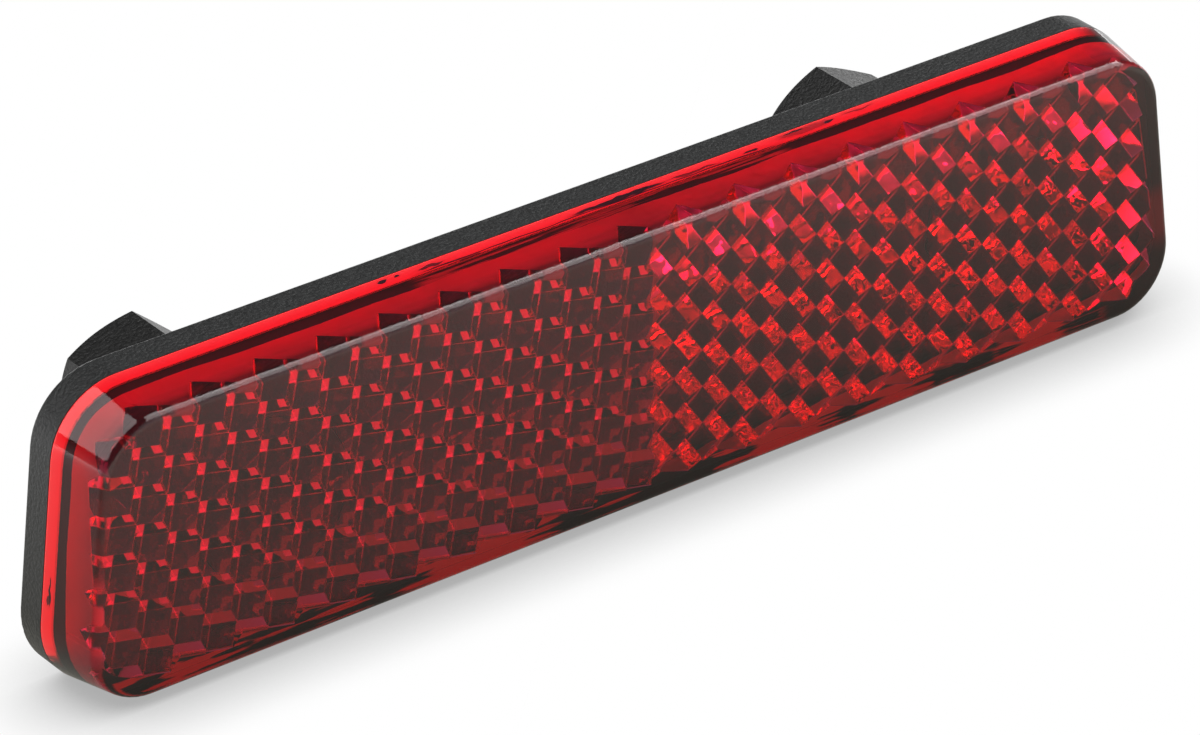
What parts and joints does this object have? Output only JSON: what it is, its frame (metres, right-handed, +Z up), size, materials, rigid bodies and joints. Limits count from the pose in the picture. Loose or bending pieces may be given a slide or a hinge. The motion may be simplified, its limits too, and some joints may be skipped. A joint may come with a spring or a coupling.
{
  "type": "bicycle rack reflector",
  "caption": "Long red prismatic rear reflector with slanted ends, welded to a black back plate with captive bolts and nuts for fixing to a luggage rack.",
  "frame": {"origin": "on the back plate's rear face, midway between the two bolts, where the plate meets the rack", "axes": "+X along the reflector to the right seen from the front, +Y backwards along the bolts, +Z up; the lens faces -Y"},
  "size_m": [0.0776, 0.0183, 0.0186],
  "materials": {
    "red_lens": "clear red moulded acrylic, polished outside",
    "black_plastic": "fine-grained satin black",
    "black_steel": "matt black coated steel"
  },
  "bodies": {
    "root": {"lens": "red_lens", "back_plate": "black_plastic", "bolts": "black_steel", "nuts": "black_steel"}
  },
  "joints": []
}
